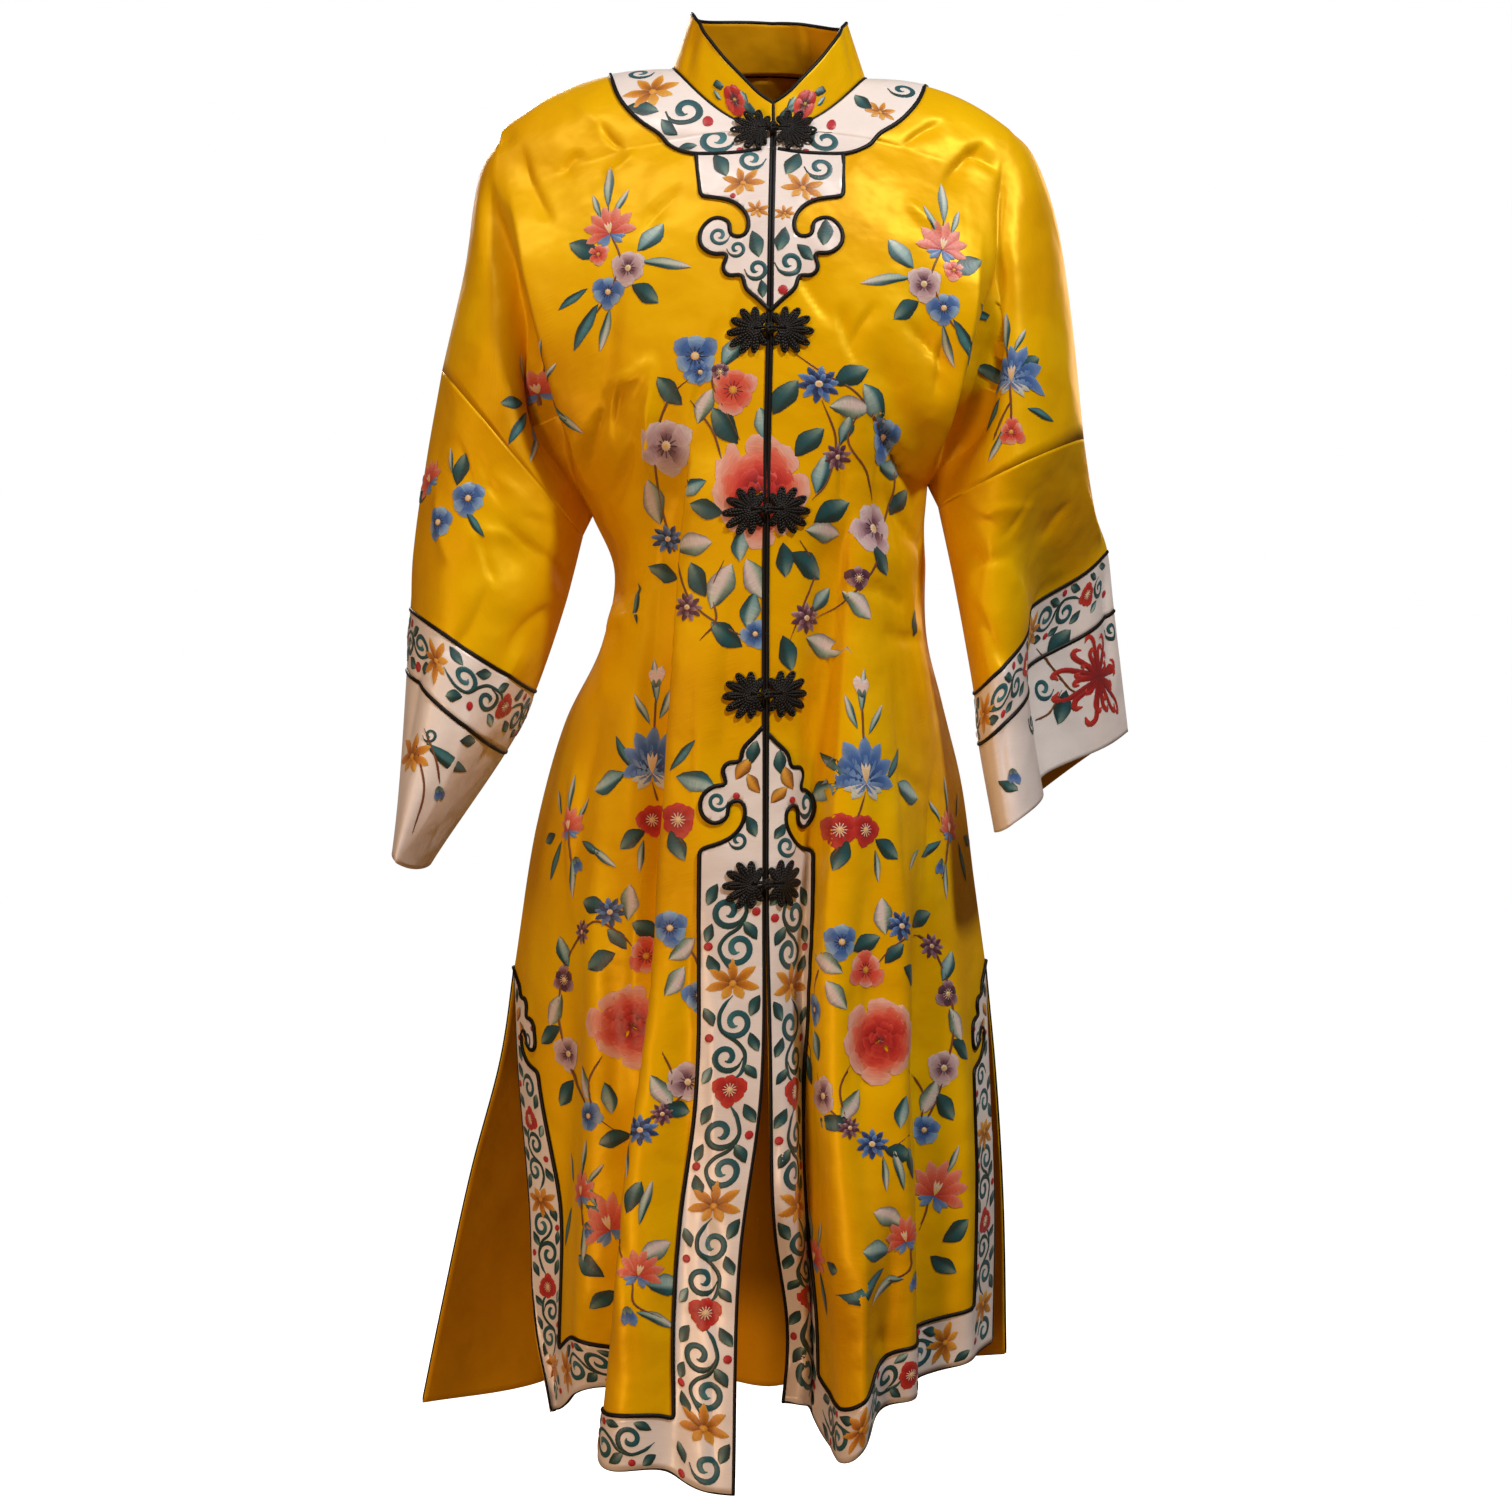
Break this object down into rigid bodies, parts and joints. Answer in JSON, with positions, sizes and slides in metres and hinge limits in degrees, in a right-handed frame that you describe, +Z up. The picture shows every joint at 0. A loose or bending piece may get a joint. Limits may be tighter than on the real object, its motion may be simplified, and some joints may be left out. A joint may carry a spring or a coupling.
{
  "type": "chinese silk robe",
  "caption": "Worn, hollow stand-collar silk robe with wide banded sleeves, side slits, scrolled borders, a cloud-shaped neck border and cord frog fastenings down the front.",
  "frame": {"origin": "middle of the neck opening, at the height of the two points where the collar meets the shoulder lines", "axes": "+Z up along the wearer's body, -Y the front of the robe, +X the wearer's left"},
  "size_m": [0.5333, 0.311, 1.0316],
  "materials": {
    "yellow_satin": "glossy yellow silk satin",
    "white_satin": "soft white silk satin",
    "black_cord": "matt black silk cord"
  },
  "bodies": {
    "root": {"front_right": "yellow_satin", "front_left": "yellow_satin", "back": "yellow_satin", "collar": "yellow_satin", "sleeve_right": "yellow_satin", "band_right": "white_satin", "cuff_right": "white_satin", "border_right": "white_satin", "yoke_right": "white_satin", "tab_right": "white_satin", "sleeve_left": "yellow_satin", "band_left": "white_satin", "cuff_left": "white_satin", "border_left": "white_satin", "yoke_left": "white_satin", "tab_left": "white_satin", "border_back": "white_satin", "yoke_back": "white_satin", "frog_1_right": "black_cord", "frog_1_left": "black_cord", "frog_1_knot": "black_cord", "frog_2_right": "black_cord", "frog_2_left": "black_cord", "frog_2_knot": "black_cord", "frog_3_right": "black_cord", "frog_3_left": "black_cord", "frog_3_knot": "black_cord", "frog_4_right": "black_cord", "frog_4_left": "black_cord", "frog_4_knot": "black_cord", "frog_5_right": "black_cord", "frog_5_left": "black_cord", "frog_5_knot": "black_cord"}
  },
  "joints": []
}
